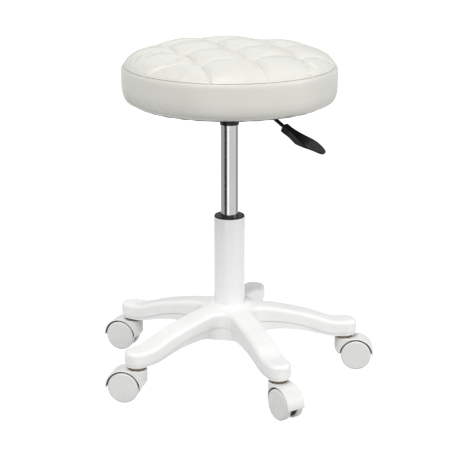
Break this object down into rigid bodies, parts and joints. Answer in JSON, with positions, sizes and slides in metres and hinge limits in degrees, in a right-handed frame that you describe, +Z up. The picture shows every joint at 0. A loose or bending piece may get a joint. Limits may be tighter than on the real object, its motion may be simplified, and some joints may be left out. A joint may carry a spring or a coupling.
{
  "type": "pedicure stool",
  "caption": "Low round swivel stool with a tufted cushioned seat on a lever-released gas lift, standing on a star base with hooded twin-wheel casters.",
  "frame": {"origin": "on the floor, under the axis of the column", "axes": "+Z up along the column, +X along the first arm of the base; the lift is fully raised"},
  "size_m": [0.4536, 0.4704, 0.551],
  "materials": {
    "white_nylon": "satin moulded nylon",
    "white_paint": "smooth white powder coat",
    "black_plastic": "satin black acetal",
    "grip_plastic": "fine grained black moulding",
    "chrome": "polished chrome plate",
    "steel": "bright zinc plate",
    "black_paint": "black powder coat",
    "caster_white": "satin moulded nylon",
    "wheel_white": "satin polyurethane",
    "core_black": "black nylon",
    "bronze": "dull bronze plate",
    "black_rubber": "matte rubber",
    "plywood": "raw plywood",
    "foam": "open cell foam",
    "pu_leather": "soft glossy coated leather cloth",
    "dust_cloth": "black non-woven cloth"
  },
  "bodies": {
    "base": {"star_base": "white_nylon", "hub_ring": "steel", "column_tube": "white_paint", "guide_bush": "black_plastic", "tube_end_plate": "steel", "bearing_race_lower": "steel", "bearing_balls": "steel", "caster_stems": "steel", "stem_collars": "bronze", "stem_grip_rings": "steel"},
    "lift_rod": {"piston_rod": "steel", "piston_head": "black_plastic", "bearing_race_upper": "steel", "bump_stop": "black_rubber", "retaining_clip": "steel"},
    "seat": {"gas_cylinder": "chrome", "rod_seal": "black_rubber", "seat_plate": "black_paint", "lever_pivot": "steel", "plate_bolts": "steel", "tee_nuts": "steel", "seat_board": "plywood", "foam_pad": "foam", "cover_top": "pu_leather", "cover_band": "pu_leather", "dust_cover": "dust_cloth"},
    "lever": {"lever_rod": "black_paint", "lever_grip": "grip_plastic"},
    "valve": {"release_pin": "steel"},
    "caster_1": {"caster_1_hood": "caster_white", "caster_1_axle": "steel"},
    "caster_1_left": {"caster_1_wheel_left": "wheel_white", "caster_1_core_left": "core_black"},
    "caster_1_right": {"caster_1_wheel_right": "wheel_white", "caster_1_core_right": "core_black"},
    "caster_2": {"caster_2_hood": "caster_white", "caster_2_axle": "steel"},
    "caster_2_left": {"caster_2_wheel_left": "wheel_white", "caster_2_core_left": "core_black"},
    "caster_2_right": {"caster_2_wheel_right": "wheel_white", "caster_2_core_right": "core_black"},
    "caster_3": {"caster_3_hood": "caster_white", "caster_3_axle": "steel"},
    "caster_3_left": {"caster_3_wheel_left": "wheel_white", "caster_3_core_left": "core_black"},
    "caster_3_right": {"caster_3_wheel_right": "wheel_white", "caster_3_core_right": "core_black"},
    "caster_4": {"caster_4_hood": "caster_white", "caster_4_axle": "steel"},
    "caster_4_left": {"caster_4_wheel_left": "wheel_white", "caster_4_core_left": "core_black"},
    "caster_4_right": {"caster_4_wheel_right": "wheel_white", "caster_4_core_right": "core_black"},
    "caster_5": {"caster_5_hood": "caster_white", "caster_5_axle": "steel"},
    "caster_5_left": {"caster_5_wheel_left": "wheel_white", "caster_5_core_left": "core_black"},
    "caster_5_right": {"caster_5_wheel_right": "wheel_white", "caster_5_core_right": "core_black"}
  },
  "joints": [
    {"name": "seat_swivel", "type": "hinge", "parent": "base", "child": "lift_rod", "pos_m": [0, 0, 0.1], "axis": [0, 0, 1], "continuous": true},
    {"name": "seat_lift", "type": "slide", "parent": "lift_rod", "child": "seat", "axis": [0, 0, 1], "range_m": [-0.12, 0]},
    {"name": "lever_lift", "type": "hinge", "parent": "seat", "child": "lever", "pos_m": [0.02194, -0.02046, 0.445], "axis": [-0.682, -0.7314, 0], "range_deg": [0, 6], "stiffness_Nm_per_rad": 2, "springref_deg": -5.73},
    {"name": "valve_press", "type": "slide", "parent": "seat", "child": "valve", "axis": [0, 0, -1], "range_m": [0, 0.0033]},
    {"name": "caster_1_swivel", "type": "hinge", "parent": "base", "child": "caster_1", "pos_m": [0.194, 0, 0.05], "axis": [0, 0, 1], "continuous": true},
    {"name": "caster_1_roll_left", "type": "hinge", "parent": "caster_1", "child": "caster_1_left", "pos_m": [0.21375, -0.00313, 0.025], "axis": [0.1564, 0.9877, 0], "continuous": true},
    {"name": "caster_1_roll_right", "type": "hinge", "parent": "caster_1", "child": "caster_1_right", "pos_m": [0.21375, -0.00313, 0.025], "axis": [0.1564, 0.9877, 0], "continuous": true},
    {"name": "caster_2_swivel", "type": "hinge", "parent": "base", "child": "caster_2", "pos_m": [0.05995, 0.18451, 0.05], "axis": [0, 0, 1], "continuous": true},
    {"name": "caster_2_roll_left", "type": "hinge", "parent": "caster_2", "child": "caster_2_left", "pos_m": [0.06204, 0.20439, 0.025], "axis": [-0.9945, 0.1045, 0], "continuous": true},
    {"name": "caster_2_roll_right", "type": "hinge", "parent": "caster_2", "child": "caster_2_right", "pos_m": [0.06204, 0.20439, 0.025], "axis": [-0.9945, 0.1045, 0], "continuous": true},
    {"name": "caster_3_swivel", "type": "hinge", "parent": "base", "child": "caster_3", "pos_m": [-0.15695, 0.11403, 0.05], "axis": [0, 0, 1], "continuous": true},
    {"name": "caster_3_roll_left", "type": "hinge", "parent": "caster_3", "child": "caster_3_left", "pos_m": [-0.17475, 0.12314, 0.025], "axis": [-0.4555, -0.8902, 0], "continuous": true},
    {"name": "caster_3_roll_right", "type": "hinge", "parent": "caster_3", "child": "caster_3_right", "pos_m": [-0.17475, 0.12314, 0.025], "axis": [-0.4555, -0.8902, 0], "continuous": true},
    {"name": "caster_4_swivel", "type": "hinge", "parent": "base", "child": "caster_4", "pos_m": [-0.15695, -0.11403, 0.05], "axis": [0, 0, 1], "continuous": true},
    {"name": "caster_4_roll_left", "type": "hinge", "parent": "caster_4", "child": "caster_4_left", "pos_m": [-0.17605, -0.10812, 0.025], "axis": [-0.2957, -0.9553, 0], "continuous": true},
    {"name": "caster_4_roll_right", "type": "hinge", "parent": "caster_4", "child": "caster_4_right", "pos_m": [-0.17605, -0.10812, 0.025], "axis": [-0.2957, -0.9553, 0], "continuous": true},
    {"name": "caster_5_swivel", "type": "hinge", "parent": "base", "child": "caster_5", "pos_m": [0.05995, -0.18451, 0.05], "axis": [0, 0, 1], "continuous": true},
    {"name": "caster_5_roll_left", "type": "hinge", "parent": "caster_5", "child": "caster_5_left", "pos_m": [0.06925, -0.20221, 0.025], "axis": [0.8854, 0.4648, 0], "continuous": true},
    {"name": "caster_5_roll_right", "type": "hinge", "parent": "caster_5", "child": "caster_5_right", "pos_m": [0.06925, -0.20221, 0.025], "axis": [0.8854, 0.4648, 0], "continuous": true}
  ],
  "couplings": [
    {"joint": "valve_press", "follows": "lever_lift", "m_per_rad": 0.03}
  ]
}
